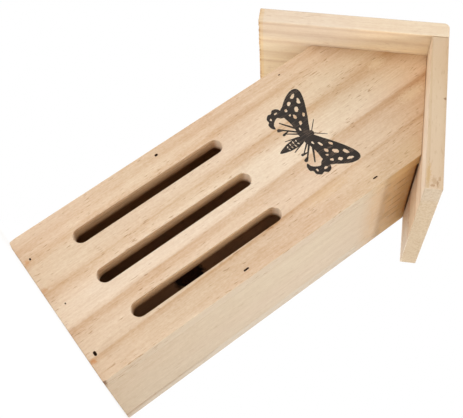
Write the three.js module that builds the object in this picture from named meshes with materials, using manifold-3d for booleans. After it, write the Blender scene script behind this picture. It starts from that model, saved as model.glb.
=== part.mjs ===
// Butterfly house of planed pine: a narrow upright box with three entrance slots, under a steep gable roof.
// Millimetres, +Z up. The front faces -Y and the origin is the middle of the floor board's underside.

import * as THREE from 'three';
import { mergeVertices } from 'three/addons/utils/BufferGeometryUtils.js';
import Module from 'manifold-3d';

const wasm = await Module();
wasm.setup();

// The box
const bodyWidth = 100;
const bodyDepth = 83;
const eaveHeight = 218.5; // up to the outer corners of the front and back panels
const boardThickness = 10;
const sideTopDrop = 2; // the side panels are cut square, this far below those corners
const arris = 0.5; // eased edges of every board

// The entrance slots, left to right
const slotWidth = 9.7;
const slotLength = 102;
const slotTop = 132.6;
const slotPitch = 28;
const slotLengthShares = [1, 1.02, 0.98];
const slotArcSides = 12;

// The roof: the left board laps over the top end of the right one
const roofPitch = Math.PI / 4; // the two boards meet square
const roofThickness = 10;
const leftSlope = 104; // underside, from the ridge to the eave
const rightSlope = 103;
const frontOverhang = 19;
const backOverhang = 0; // the boards end flush with the back panel, so the house lies flat on a wall
const ridgeEase = 2.4; // the ridge corner is planed round
const roofFit = 0.3; // between the roof boards, and between them and the gables

// The brads, T-headed wire nails driven below the surface
const bradLength = 20;
const bradWireWidth = 1.2;
const bradWireThickness = 1;
const bradHeadLength = 2.2;
const bradHeadHeight = 0.7;
const bradTipLength = 1.6;
const bradRecess = 0.7;
const bradFit = 0.3;
const pitLength = 3;
const pitWidth = 1.7;
const pitArcSides = 5;

// Where the brads sit: heights as shares of the eave height, places across as shares of the half width
const edgeBradHeightShares = { left: [0.866, 0.448], right: [0.861, 0.44] };
const floorBradAcrossShares = [-0.666, 0.018, 0.688];
const floorBradHeightShares = [0.49, 0.7, 0.49]; // of the floor board's thickness
const roofBradShares = [0.3, 0.8]; // of the gable's slope, down from the ridge
const ridgeBradShares = [0.14, 0.52, 0.88]; // of the roof's depth, back from its front edge

// The hanging plate, let in flush near the top of the back panel
const plateLength = 44;
const plateWidth = 15;
const plateThickness = 1.5;
const plateDrop = 44.5; // its middle, below the gable's tip
const plateFit = 0.3;
const plateArcSides = 14;
const keyholeRadius = 4;
const keyholeSlotWidth = 4;
const keyholeSlotRise = 8;
const pocketMargin = 1.2; // the pocket behind the keyhole is this much wider all round
const pocketDepth = 2.3;

// The plate's two countersunk screws
const screwSpacing = 33;
const screwLength = 8;
const screwRadius = 1.3;
const screwHeadRadius = 2.6;
const screwTipLength = 2;
const screwHeadShare = 0.9; // of the plate's thickness
const screwSides = 16;
const recessLength = 2.8;
const recessWidth = 0.7;
const recessDepth = 0.8;

const overrun = 1; // how far a cutting solid runs past the face that it opens

// Colours and sheen
const finishes = {
  front: { color: 0xe8cda9, roughness: 0.72, metalness: 0 },
  pale: { color: 0xe6cfaa, roughness: 0.74, metalness: 0 },
  warm: { color: 0xe0bf95, roughness: 0.74, metalness: 0 },
  steel: { color: 0x4a3f36, roughness: 0.5, metalness: 0.8 },
  zinc: { color: 0xb9bcbd, roughness: 0.35, metalness: 1 },
};

const frontFace = -bodyDepth / 2;
const backFace = bodyDepth / 2;
const innerDepth = bodyDepth - 2 * boardThickness;
const innerWidth = bodyWidth - 2 * boardThickness;
const gableHeight = eaveHeight + (bodyWidth / 2) * Math.tan(roofPitch);
const gableSlope = bodyWidth / 2 / Math.cos(roofPitch);
const roofApex = new THREE.Vector2(0, gableHeight + roofFit / Math.cos(roofPitch));
const roofFront = frontFace - frontOverhang;
const roofBack = backFace + backOverhang;
const roofDepth = roofBack - roofFront;

// Solids and booleans

function toManifold(geometry) {
  const bare = geometry.clone();
  bare.deleteAttribute('normal');
  bare.deleteAttribute('uv');
  const merged = mergeVertices(bare);
  const corners = merged.index.array;
  const kept = [];
  for (let i = 0; i < corners.length; i += 3) {
    const [a, b, c] = [corners[i], corners[i + 1], corners[i + 2]];
    if (a !== b && b !== c && c !== a) kept.push(a, b, c);
  }
  return new wasm.Manifold(new wasm.Mesh({
    numProp: 3,
    vertProperties: new Float32Array(merged.attributes.position.array),
    triVerts: new Uint32Array(kept),
  }));
}

function toGeometry(solid) {
  const mesh = solid.getMesh();
  const geometry = new THREE.BufferGeometry();
  geometry.setAttribute('position', new THREE.BufferAttribute(mesh.vertProperties, 3));
  geometry.setIndex(new THREE.BufferAttribute(mesh.triVerts, 1));
  return geometry;
}

function cut(geometry, ...tools) {
  let solid = toManifold(geometry);
  for (const tool of tools) solid = solid.subtract(toManifold(tool));
  return toGeometry(solid);
}

function join(geometry, other) {
  return toGeometry(toManifold(geometry).add(toManifold(other)));
}

// Outlines

function easedOutline(corners, ease, planed = {}) {
  const shape = new THREE.Shape();
  corners.forEach((corner, i) => {
    const before = corners[(i + corners.length - 1) % corners.length];
    const after = corners[(i + 1) % corners.length];
    const reach = planed[i] ?? ease;
    const start = corner.clone().add(before.clone().sub(corner).setLength(reach));
    const end = corner.clone().add(after.clone().sub(corner).setLength(reach));
    if (i === 0) shape.moveTo(start.x, start.y);
    else shape.lineTo(start.x, start.y);
    if (i in planed) shape.quadraticCurveTo(corner.x, corner.y, end.x, end.y);
    else shape.lineTo(end.x, end.y);
  });
  shape.closePath();
  return shape;
}

function rectangleCorners(width, bottom, top) {
  return [
    new THREE.Vector2(-width / 2, bottom),
    new THREE.Vector2(width / 2, bottom),
    new THREE.Vector2(width / 2, top),
    new THREE.Vector2(-width / 2, top),
  ];
}

// A straight-sided outline with round ends, upright and centred across
function roundEnded(path, across, bottom, top, width) {
  const radius = width / 2;
  path.moveTo(across + radius, bottom + radius);
  path.lineTo(across + radius, top - radius);
  path.absarc(across, top - radius, radius, 0, Math.PI, false);
  path.lineTo(across - radius, bottom + radius);
  path.absarc(across, bottom + radius, radius, Math.PI, 2 * Math.PI, false);
  return path;
}

// A board: its outline lies in X and Z, and its thickness runs along Y, half each way
function board(outline, thickness) {
  const geometry = new THREE.ExtrudeGeometry(outline, {
    depth: thickness - 2 * arris,
    bevelThickness: arris,
    bevelSize: arris,
    bevelOffset: -arris,
    bevelSegments: 1,
    curveSegments: slotArcSides,
  });
  geometry.translate(0, 0, arris - thickness / 2);
  geometry.rotateX(Math.PI / 2);
  return geometry;
}

// A plain prism whose outline lies in X and Y, from a height along Z
function prism(outline, from, height, arcSides = pitArcSides) {
  const settings = { depth: height, bevelEnabled: false, curveSegments: arcSides };
  const geometry = new THREE.ExtrudeGeometry(outline, settings);
  geometry.translate(0, 0, from);
  return geometry;
}

const house = new THREE.Group();

function part(name, geometry, finish, parent = house) {
  const mesh = new THREE.Mesh(geometry, new THREE.MeshStandardMaterial(finishes[finish]));
  mesh.name = name;
  parent.add(mesh);
  return mesh;
}

// Front and back panels, with their gables

function gableOutline() {
  const corners = rectangleCorners(bodyWidth, 0, eaveHeight);
  corners.splice(3, 0, new THREE.Vector2(0, gableHeight));
  return easedOutline(corners, arris);
}

function frontPanel() {
  const outline = gableOutline();
  slotLengthShares.forEach((share, i) => {
    const across = (i - (slotLengthShares.length - 1) / 2) * slotPitch;
    const bottom = slotTop - slotLength * share;
    outline.holes.push(roundEnded(new THREE.Path(), across, bottom, slotTop, slotWidth));
  });
  const panel = part('front_panel', board(outline, boardThickness), 'front');
  panel.position.y = frontFace + boardThickness / 2;
  return panel;
}

function backPanel() {
  const panel = part('back_panel', board(gableOutline(), boardThickness), 'warm');
  panel.position.y = backFace - boardThickness / 2;
  return panel;
}

// Side panels and the floor board, which stand between the front and the back

function sidePanel(name, side) {
  const corners = rectangleCorners(innerDepth, 0, eaveHeight - sideTopDrop);
  const panel = part(name, board(easedOutline(corners, arris), boardThickness), 'pale');
  panel.position.x = side * (bodyWidth - boardThickness) / 2;
  panel.rotation.z = Math.PI / 2;
  return panel;
}

function floorPanel() {
  const corners = rectangleCorners(innerWidth, -innerDepth / 2, innerDepth / 2);
  const panel = part('floor_panel', board(easedOutline(corners, arris), boardThickness), 'warm');
  panel.position.z = boardThickness / 2;
  panel.rotation.x = -Math.PI / 2;
  return panel;
}

// The roof, drawn in X and Z. Each slope has a way down from the ridge and a way out of its face.

function slope(side) {
  return {
    down: new THREE.Vector2(side * Math.cos(roofPitch), -Math.sin(roofPitch)),
    out: new THREE.Vector2(side * Math.sin(roofPitch), Math.cos(roofPitch)),
  };
}

const leftSide = slope(-1);
const rightSide = slope(1);
const ridgeSine = Math.sin(2 * roofPitch);
const ridgeCosine = Math.cos(2 * roofPitch);

function roofPoint(side, down, out) {
  return roofApex.clone().addScaledVector(side.down, down).addScaledVector(side.out, out);
}

function leftRoofBoard() {
  const innerReach = roofThickness / ridgeSine;
  const outerReach = roofThickness * (1 - ridgeCosine) / ridgeSine;
  const corners = [
    roofPoint(leftSide, leftSlope, 0),
    roofPoint(leftSide, -innerReach, 0),
    roofPoint(leftSide, -outerReach, roofThickness),
    roofPoint(leftSide, leftSlope, roofThickness),
  ];
  const outline = easedOutline(corners, arris, { 2: ridgeEase });
  return roofBoard('left_roof_board', outline, 'pale');
}

function rightRoofBoard() {
  const innerStart = roofFit / ridgeSine;
  const outerStart = (roofFit + roofThickness * ridgeCosine) / ridgeSine;
  const corners = [
    roofPoint(rightSide, innerStart, 0),
    roofPoint(rightSide, rightSlope, 0),
    roofPoint(rightSide, rightSlope, roofThickness),
    roofPoint(rightSide, outerStart, roofThickness),
  ];
  return roofBoard('right_roof_board', easedOutline(corners, arris), 'warm');
}

function roofBoard(name, outline, finish) {
  const mesh = part(name, board(outline, roofDepth), finish);
  mesh.position.y = (roofFront + roofBack) / 2;
  return mesh;
}

// Brads. Each one's own frame has X along its head and Z out of the face that it is driven into.

function bradGeometry() {
  const top = -bradRecess;
  const neck = top - bradHeadHeight;
  const tip = top - bradLength;
  const outline = new THREE.Shape([
    new THREE.Vector2(-bradHeadLength / 2, top),
    new THREE.Vector2(-bradHeadLength / 2, neck),
    new THREE.Vector2(-bradWireWidth / 2, neck),
    new THREE.Vector2(-bradWireWidth / 2, tip + bradTipLength),
    new THREE.Vector2(0, tip),
    new THREE.Vector2(bradWireWidth / 2, tip + bradTipLength),
    new THREE.Vector2(bradWireWidth / 2, neck),
    new THREE.Vector2(bradHeadLength / 2, neck),
    new THREE.Vector2(bradHeadLength / 2, top),
  ]);
  const geometry = prism(outline, -bradWireThickness / 2, bradWireThickness);
  geometry.rotateX(Math.PI / 2);
  return geometry;
}

// The room that a brad takes in the wood: the pit that its head is punched into, and the wire's hole
function bradRoomGeometry() {
  const seat = bradRecess + bradHeadHeight + bradFit;
  const pitOutline = roundEnded(new THREE.Shape(), 0, -pitLength / 2, pitLength / 2, pitWidth);
  const pit = prism(pitOutline, -seat, seat + overrun);
  pit.rotateZ(Math.PI / 2);
  const holeTop = -seat / 2;
  const holeBottom = -(bradRecess + bradLength + bradFit);
  const wireRoom = [bradWireWidth, bradWireThickness].map((size) => size + 2 * bradFit);
  const hole = new THREE.BoxGeometry(...wireRoom, holeTop - holeBottom);
  hole.translate(0, 0, (holeTop + holeBottom) / 2);
  return join(pit, hole);
}

const bradShape = bradGeometry();
const bradRoom = bradRoomGeometry();
const acrossTheHouse = new THREE.Vector3(1, 0, 0);
const frontToBack = new THREE.Vector3(0, 1, 0);
const upTheHouse = new THREE.Vector3(0, 0, 1);

function brad(name, place, headWay, out) {
  const mesh = part(name, bradShape.clone(), 'steel');
  const sideways = new THREE.Vector3().crossVectors(out, headWay);
  mesh.applyMatrix4(new THREE.Matrix4().makeBasis(headWay, sideways, out).setPosition(place));
  return mesh;
}

// Makes room for brads in a board that they go through or into
function drill(mesh, brads) {
  mesh.updateMatrix();
  const intoBoard = mesh.matrix.clone().invert();
  const rooms = brads.map((nail) => bradRoom.clone().applyMatrix4(nail.matrix).applyMatrix4(intoBoard));
  mesh.geometry = cut(mesh.geometry, ...rooms);
}

// The brads of the front or back panel: two down each edge into the side panels, three into the floor board
function panelBrads(panelName, face, out) {
  const found = { left: [], right: [], floor: [] };
  for (const [sideName, side] of [['left', -1], ['right', 1]]) {
    edgeBradHeightShares[sideName].forEach((share, i) => {
      const place = new THREE.Vector3(side * (bodyWidth - boardThickness) / 2, face, eaveHeight * share);
      const name = `${panelName}_brad_${sideName}_${['upper', 'lower'][i]}`;
      found[sideName].push(brad(name, place, upTheHouse, out));
    });
  }
  floorBradAcrossShares.forEach((share, i) => {
    const place = new THREE.Vector3(bodyWidth / 2 * share, face, boardThickness * floorBradHeightShares[i]);
    const name = `${panelName}_brad_floor_${['left', 'middle', 'right'][i]}`;
    found.floor.push(brad(name, place, acrossTheHouse, out));
  });
  return found;
}

// The brads of one roof board into the gable edges of the front and back panels
function roofBrads(sideName, side) {
  const found = { front: [], back: [] };
  const out = new THREE.Vector3(side.out.x, 0, side.out.y);
  for (const [panelName, way] of [['front', -1], ['back', 1]]) {
    roofBradShares.forEach((share, i) => {
      const point = roofPoint(side, gableSlope * share, roofThickness);
      const place = new THREE.Vector3(point.x, way * (bodyDepth - boardThickness) / 2, point.y);
      const name = `roof_brad_${sideName}_${panelName}_${['upper', 'lower'][i]}`;
      found[panelName].push(brad(name, place, frontToBack, out));
    });
  }
  return found;
}

// The brads through the left roof board's lap, into the top end of the right one
function ridgeBrads() {
  const out = new THREE.Vector3(leftSide.out.x, 0, leftSide.out.y);
  const lapMiddle = roofPoint(rightSide, 0, roofThickness / 2);
  lapMiddle.addScaledVector(leftSide.out, roofThickness - roofThickness / 2 * ridgeCosine);
  return ridgeBradShares.map((share, i) => {
    const place = new THREE.Vector3(lapMiddle.x, roofFront + roofDepth * share, lapMiddle.y);
    return brad(`ridge_brad_${['front', 'middle', 'back'][i]}`, place, frontToBack, out);
  });
}

// The hanging plate and its screws, in a frame with Z out of the back face and Y up the house

const hanger = new THREE.Group();
hanger.position.set(0, backFace, gableHeight - plateDrop);
hanger.quaternion.setFromRotationMatrix(
  new THREE.Matrix4().makeBasis(acrossTheHouse.clone().negate(), upTheHouse, frontToBack),
);
house.add(hanger);

const screwHeadHeight = plateThickness * screwHeadShare;
const keyholeDrop = keyholeSlotRise / 2;

// The round part is low and the slot rises from it, so that the house drops onto its wall screw
function keyhole(margin) {
  const slotRadius = keyholeSlotWidth / 2 + margin;
  const round = keyholeRadius + margin;
  const mouth = Math.asin(slotRadius / round);
  const shape = new THREE.Shape();
  shape.absarc(0, -keyholeDrop, round, Math.PI / 2 + mouth, Math.PI / 2 - mouth + 2 * Math.PI, false);
  shape.absarc(0, keyholeSlotRise - keyholeDrop, slotRadius, 0, Math.PI, false);
  return shape;
}

function screwProfile(fit) {
  const points = [
    new THREE.Vector2(0, -screwLength - fit),
    new THREE.Vector2(screwRadius + fit, -screwLength + screwTipLength - fit),
    new THREE.Vector2(screwRadius + fit, -screwHeadHeight - fit),
    new THREE.Vector2(screwHeadRadius + fit, 0),
  ];
  if (fit > 0) points.push(new THREE.Vector2(screwHeadRadius + fit, overrun));
  points.push(new THREE.Vector2(0, fit > 0 ? overrun : 0));
  const geometry = new THREE.LatheGeometry(points, screwSides);
  geometry.rotateX(Math.PI / 2);
  return geometry;
}

function hangingPlate() {
  const outline = roundEnded(new THREE.Shape(), 0, -plateLength / 2, plateLength / 2, plateWidth);
  const blank = prism(outline, -plateThickness, plateThickness, plateArcSides);
  const key = prism(keyhole(0), -plateThickness - overrun, plateThickness + 2 * overrun, plateArcSides);
  const screwRooms = [-1, 1].map((way) => screwProfile(plateFit).translate(0, way * screwSpacing / 2, 0));
  return part('hanger_plate', cut(blank, key, ...screwRooms), 'zinc', hanger);
}

function hangerScrew(name, way) {
  const bars = [[recessLength, recessWidth], [recessWidth, recessLength]].map(([long, wide]) => {
    const bar = new THREE.BoxGeometry(long, wide, recessDepth + overrun);
    return bar.translate(0, 0, (overrun - recessDepth) / 2);
  });
  const screw = part(name, cut(screwProfile(0), ...bars), 'zinc', hanger);
  screw.position.y = way * screwSpacing / 2;
  return screw;
}

// The plate's seat, the pocket for the wall screw's head and the screws' holes, cut from the back panel
function letInHanger(panel) {
  const seatOutline = roundEnded(
    new THREE.Shape(), 0, -plateLength / 2 - plateFit, plateLength / 2 + plateFit, plateWidth + 2 * plateFit,
  );
  const seat = prism(seatOutline, -plateThickness, plateThickness + overrun, plateArcSides);
  const pocketReach = plateThickness + pocketDepth;
  const pocket = prism(keyhole(pocketMargin), -pocketReach, pocketReach + overrun, plateArcSides);
  const screwRooms = [-1, 1].map((way) => screwProfile(plateFit).translate(0, way * screwSpacing / 2, 0));
  hanger.updateMatrix();
  panel.updateMatrix();
  const intoPanel = panel.matrix.clone().invert().multiply(hanger.matrix);
  const tools = [seat, pocket, ...screwRooms].map((tool) => tool.applyMatrix4(intoPanel));
  panel.geometry = cut(panel.geometry, ...tools);
}

// Assembly

const front = frontPanel();
const back = backPanel();
const leftPanel = sidePanel('left_side_panel', -1);
const rightPanel = sidePanel('right_side_panel', 1);
const floor = floorPanel();
const leftRoof = leftRoofBoard();
const rightRoof = rightRoofBoard();

const frontBrads = panelBrads('front', frontFace, frontToBack.clone().negate());
const backBrads = panelBrads('back', backFace, frontToBack);
const leftRoofBrads = roofBrads('left', leftSide);
const rightRoofBrads = roofBrads('right', rightSide);
const lapBrads = ridgeBrads();

drill(front, Object.values(frontBrads).flat());
drill(back, Object.values(backBrads).flat());
drill(front, [...leftRoofBrads.front, ...rightRoofBrads.front]);
drill(back, [...leftRoofBrads.back, ...rightRoofBrads.back]);
drill(leftPanel, [...frontBrads.left, ...backBrads.left]);
drill(rightPanel, [...frontBrads.right, ...backBrads.right]);
drill(floor, [...frontBrads.floor, ...backBrads.floor]);
drill(leftRoof, [...leftRoofBrads.front, ...leftRoofBrads.back, ...lapBrads]);
drill(rightRoof, [...rightRoofBrads.front, ...rightRoofBrads.back, ...lapBrads]);

letInHanger(back);
hangingPlate();
hangerScrew('hanger_screw_upper', 1);
hangerScrew('hanger_screw_lower', -1);

export default house;
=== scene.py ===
# Butterfly house of planed pine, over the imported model
import math
from functools import partialmethod
import bmesh
import bpy
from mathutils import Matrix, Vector, geometry, noise


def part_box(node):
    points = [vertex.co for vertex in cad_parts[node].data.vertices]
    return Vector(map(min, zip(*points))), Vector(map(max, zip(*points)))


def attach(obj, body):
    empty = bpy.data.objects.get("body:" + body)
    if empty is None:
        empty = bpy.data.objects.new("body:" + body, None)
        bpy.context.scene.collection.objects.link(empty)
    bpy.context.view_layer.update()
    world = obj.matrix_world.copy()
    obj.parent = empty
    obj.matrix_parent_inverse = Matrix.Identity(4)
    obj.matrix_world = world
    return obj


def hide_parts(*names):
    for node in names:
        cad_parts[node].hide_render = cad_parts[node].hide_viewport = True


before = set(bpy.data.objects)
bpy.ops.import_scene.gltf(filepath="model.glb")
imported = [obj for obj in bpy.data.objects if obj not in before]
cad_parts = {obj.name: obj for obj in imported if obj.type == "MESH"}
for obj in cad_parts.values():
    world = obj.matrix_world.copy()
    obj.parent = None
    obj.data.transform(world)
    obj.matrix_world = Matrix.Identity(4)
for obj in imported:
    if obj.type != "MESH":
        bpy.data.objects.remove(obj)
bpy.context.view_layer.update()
print("frame loaded with", len(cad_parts), "solids")

mm = 0.001

# Camera, low in front of the right corner and rolled

cameraView = {
    "place": (0.190174, -0.458273, 0.004370),
    "turn": (0.479501, 0.753521, -0.217270, 0.393801),
    "lens": 64.306,
    "sensor": 36,
    "nearest": 0.01,
}


def hang(name, data, place, turn):
    holder = bpy.data.objects.new(name, data)
    holder.rotation_mode = "QUATERNION"
    holder.rotation_quaternion = turn
    holder.location = place
    bpy.context.collection.objects.link(holder)
    return holder


def placeCamera(view):
    lensData = bpy.data.cameras.new("camera")
    lensData.lens = view["lens"]
    lensData.sensor_width = view["sensor"]
    lensData.clip_start = view["nearest"]
    bpy.context.scene.camera = hang("camera", lensData, view["place"], view["turn"])


placeCamera(cameraView)
bpy.context.scene.view_settings.view_transform = "Standard"
print("camera placed")

# Helpers for materials and meshes


def screenColour(code):
    # a colour as a paint program writes it, turned into the renderer's own values
    parts = [int(code[i:i + 2], 16) / 255 for i in (0, 2, 4)]
    return tuple(part / 12.92 if part < 0.04045 else ((part + 0.055) / 1.055) ** 2.4 for part in parts)


class Shading:
    def __init__(self, name, kind=bpy.data.materials):
        self.holder = kind.new(name)
        self.holder.use_nodes = True
        self.tree = self.holder.node_tree
        self.tree.nodes.clear()

    def node(self, kind, sockets=None, **settings):
        # a colour is given as its code or as three values
        made = self.tree.nodes.new("ShaderNode" + kind)
        for key, value in settings.items():
            setattr(made, key, value)
        for key, value in (sockets or {}).items():
            socket = made.inputs[key]
            if isinstance(value, bpy.types.NodeSocket):
                self.tree.links.new(value, socket)
            else:
                value = screenColour(value) if isinstance(value, str) else value
                socket.default_value = (*value, 1) if socket.type == "RGBA" else value
        return made

    def maths(self, operation, *values, clamp=False):
        made = self.node("Math", dict(enumerate(values)), operation=operation, use_clamp=clamp)
        return made.outputs[0]

    plus = partialmethod(maths, "ADD")
    minus = partialmethod(maths, "SUBTRACT")
    times = partialmethod(maths, "MULTIPLY")
    timesPlus = partialmethod(maths, "MULTIPLY_ADD")

    def swing(self, base, texture, amount):
        # moves the base up and down with a texture
        return self.timesPlus(self.minus(texture, 0.5), amount, base)

    def distance(self, first, second):
        return self.maths("SQRT", self.plus(self.times(first, first), self.times(second, second)))

    def vector(self, operation, *values, output=0):
        return self.node("VectorMath", dict(enumerate(values)), operation=operation).outputs[output]

    def spread(self, value, low, high, start=0, end=1):
        sockets = {"Value": value, "From Min": low, "From Max": high, "To Min": start, "To Max": end}
        return self.node("MapRange", sockets, interpolation_type="SMOOTHSTEP").outputs[0]

    def facing(self, normal, axis, low, high):
        # how squarely the surface faces along an axis, either way
        turned = self.vector("DOT_PRODUCT", normal, axis, output="Value")
        return self.spread(self.maths("ABSOLUTE", turned), low, high)

    def ramp(self, share, stops):
        # grey tones at places from 0 to 1, running evenly between them
        made = self.node("ValToRGB", {0: share})
        elements = made.color_ramp.elements
        for i in (0, -1):
            place, tone = stops[i]
            elements[i].position = place
            elements[i].color = (tone, tone, tone, 1)
        for place, tone in stops[1:-1]:
            elements.new(place).color = (tone, tone, tone, 1)
        return made.outputs[0]

    def mix(self, share, first, second, blend="MIX"):
        made = self.node("Mix", {0: share, 6: first, 7: second}, data_type="RGBA", blend_type=blend)
        return made.outputs[2]

    def tinted(self, share, colour, tint):
        # the colour multiplied by the tint, as far as the share goes
        return self.mix(share, colour, self.mix(1, colour, tint, "MULTIPLY"))

    def millimetres(self):
        return self.vector("MULTIPLY", self.node("TexCoord").outputs["Object"], (1 / mm,) * 3)

    def stretched(self, place, sizes, shift=0):
        # the place in units of the given sizes
        return self.vector("ADD", self.vector("DIVIDE", place, sizes), (shift,) * 3)

    def cloud(self, place, sizes, shift=0, detail=2, roughness=0.5):
        sockets = {"Vector": self.stretched(place, sizes, shift), "Scale": 1, "Detail": detail,
                   "Roughness": roughness}
        return self.node("TexNoise", sockets).outputs[0]

    def surface(self, colour, height, look, roughness=None):
        # a finished material: its colour over small bumps, bumpSize in millimetres
        bump = self.node("Bump", {"Height": height, "Strength": look["relief"],
                                  "Distance": look["bumpSize"] * mm})
        made = self.node("BsdfPrincipled", {
            "Base Color": colour, "Normal": bump.outputs[0], "Metallic": look.get("metallic", 0),
            "Roughness": look["roughness"] if roughness is None else roughness,
            "Specular IOR Level": look["gloss"],
        })
        return self.finish(made.outputs[0])

    def finish(self, surface, output="OutputMaterial"):
        self.node(output, {"Surface": surface})
        return self.holder


def addPiece(name, mesh, materials):
    # turns a built mesh into an object with its materials
    data = bpy.data.meshes.new(name)
    mesh.to_mesh(data)
    mesh.free()
    for material in materials:
        data.materials.append(material)
    piece = bpy.data.objects.new(name, data)
    bpy.context.collection.objects.link(piece)
    return piece


def isInside(point, loop):
    inside = False
    for i, corner in enumerate(loop):
        before = loop[i - 1]
        if (corner.y > point.y) != (before.y > point.y):
            if point.x < (before.x - corner.x) * (point.y - corner.y) / (before.y - corner.y) + corner.x:
                inside = not inside
    return inside


def isInAny(point, loops):
    return any(isInside(point, loop) for loop in loops)


def fillLoops(loops, isWanted, tolerance):
    # triangles on closed loops of flat points, those whose middle is wanted
    points, edges = [], []
    for loop in loops:
        first = len(points)
        points += loop
        edges += [(first + k, first + (k + 1) % len(loop)) for k in range(len(loop))]
    flat, _, triangles, origins, *_ = geometry.delaunay_2d_cdt(points, edges, [], 0, tolerance)
    wanted = [triangle for triangle in triangles
              if isWanted(sum((flat[k] for k in triangle), Vector((0, 0))) / 3)]
    return flat, wanted, origins


def spots(*pairs):
    return [Vector(pair) for pair in pairs]


# Floor, backdrop and lights

studio = {
    "floorSize": 8,
    "floorTone": 0.92,
    "floorGlow": 0.6,  # share of plain white in what the camera sees of the floor
    "skyTop": 1.44,  # straight overhead, fading to nothing at the horizon
    # azimuths are counted from the front
    "suns": {"key": {"azimuth": 80, "height": 10, "spread": 15, "strength": 1.41},
             "side": {"azimuth": -98, "height": 12, "spread": 30, "strength": 1.2}},
    "fill": {"place": (-0.55, -0.85, 0.10), "aim": (0, 0, 0.12), "size": (0.5, 0.2), "power": 2.25},
}


def layFloor(setup):
    mat = Shading("studio floor")
    glow = mat.times(mat.node("LightPath").outputs["Is Camera Ray"], setup["floorGlow"])
    dull = mat.node("BsdfDiffuse", {"Color": (setup["floorTone"],) * 3}).outputs[0]
    white = mat.node("Emission", {"Strength": 1}).outputs[0]
    surface = mat.node("MixShader", {0: glow, 1: dull, 2: white}).outputs[0]
    mesh = bmesh.new()
    bmesh.ops.create_grid(mesh, x_segments=4, y_segments=4, size=setup["floorSize"] / 2)
    floor = addPiece("studio_floor", mesh, [mat.finish(surface)])


def makeSky(setup):
    # a soft sky that only lights; what the camera, metal or glass sees of it is plain white
    mat = Shading("studio", bpy.data.worlds)
    paths = mat.node("LightPath").outputs
    seen = mat.maths("MAXIMUM", paths["Is Camera Ray"], paths["Is Transmission Ray"])
    seen = mat.maths("MAXIMUM", seen, paths["Is Glossy Ray"])
    rise = mat.node("SeparateXYZ", {0: mat.node("TexCoord").outputs["Generated"]}).outputs[2]
    strength = mat.times(mat.maths("MAXIMUM", rise, 0), setup["skyTop"])
    sky, backdrop = (mat.node("Background", {"Color": (1, 1, 1), "Strength": level}).outputs[0]
                     for level in (strength, 1))
    choice = mat.node("MixShader", {0: seen, 1: sky, 2: backdrop}).outputs[0]
    bpy.context.scene.world = mat.finish(choice, "OutputWorld")


def hangLamp(name, lamp, place, aim=(0, 0, 0)):
    turn = (Vector(place) - Vector(aim)).to_track_quat("Z", "Y")
    hang(name, lamp, place, turn).visible_camera = False


def lightStudio(setup):
    makeSky(setup)
    for name, sun in setup["suns"].items():
        lamp = bpy.data.lights.new(name, "SUN")
        lamp.energy = sun["strength"]
        lamp.angle = math.radians(sun["spread"])
        azimuth, height = math.radians(sun["azimuth"]), math.radians(sun["height"])
        flat = math.cos(height)
        hangLamp(name, lamp, (math.sin(azimuth) * flat, -math.cos(azimuth) * flat, math.sin(height)))
    fill = setup["fill"]
    lamp = bpy.data.lights.new("fill", "AREA")
    lamp.shape = "RECTANGLE"
    lamp.size, lamp.size_y = fill["size"]
    lamp.energy = fill["power"]
    hangLamp("fill", lamp, fill["place"], fill["aim"])


layFloor(studio)
lightStudio(studio)
print("studio set")

# Pine

# a board's own dictionary says only where its wood differs from this
commonPine = {
    "tones": ("f4dcc0", "cc9c6c"), "endTones": ("e6c8a4", "b98e62"),
    "mark": "be9a74",  # short resin marks
    "bandStrength": 0.55,
    "drift": 0,  # how far the grain leans across, per unit of length
    "slant": 0.4,  # how far it leans through the thickness
    "wander": 2,  # slow bends in the grain
    "ripple": 0.5,  # quick ones
    "fibre": 0.5, "speck": 0.4, "streak": 0.38, "mottle": 0.34, "marks": 0.45,
    "endContrast": 0.9, "endSpeck": 0.5, "warmth": 0.35,
    "hues": ((1, 0.955, 0.93), (0.985, 1, 0.955)),  # pinkish and yellowish
    "unevenness": 1.6,  # of the years' widths
    "ringTones": [(0, 0), (0.45, 0.1), (0.75, 0.4), (0.92, 0.95), (0.985, 0.75), (1, 0)],
    "face": 0,  # where the outer face lies, from which the depth is counted
    "shift": 0,  # moves all the textures, so that no two boards match
    "roughness": 0.62, "gloss": 0.1, "relief": 0.35, "bumpSize": 0.12,
    "tints": [],  # (begin, end, colour share) along the grain, on several boards painted shade; "edge" is for the long edges alone
    "paintedDepthShades": [],  # the same through the board, for painted shade and painted light
    "tintBlotch": 0,  # how unevenly the tints lie
    "stains": [],  # (across, through, along), the same for its half sizes, strength, colour
    # a colour factor over the whole board: painted light on the slot walls, painted shade inside the house
    "paintedShading": (1, 1, 1),
    "paintedJointShade": (1, 0.97, 0.91),  # painted shade on a roof board from the front panel backwards, as a colour share
}

# sizes across, through and along in millimetres, then the shift, the detail and the roughness
pineTextures = {
    "wander": ((60, 60, 190), 0, 1),
    "ripple": ((9, 9, 60), 7.3),
    "years": ((70, 70, 400), 3.1, 1),
    "changing": ((30, 30, 160), 11),
    "fibre": ((0.7, 0.7, 10), 1.7, 3, 0.6),
    "speck": ((1, 1, 2.2), 4.1, 2, 0.6),
    "streak": ((2.6, 2.6, 90), 5.9, 3, 0.6),
    "mottle": ((5, 5, 11), 17.7, 3, 0.6),
    "hue": ((34, 34, 110), 23, 1),
    "pores": ((0.35, 0.35, 3), 13, 2, 0.7),
    "patches": ((1.3, 1.3, 5), 37, 2, 0.7),
    "blotches": ((7, 7, 3), 29, 4, 0.65),
    "crowd": ((12, 12, 38), 31, 1),
    "dashes": ((0.85, 0.85, 6), 19, 1),
    "knot": ((3, 40, 3), 2.2, 3),
}

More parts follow.
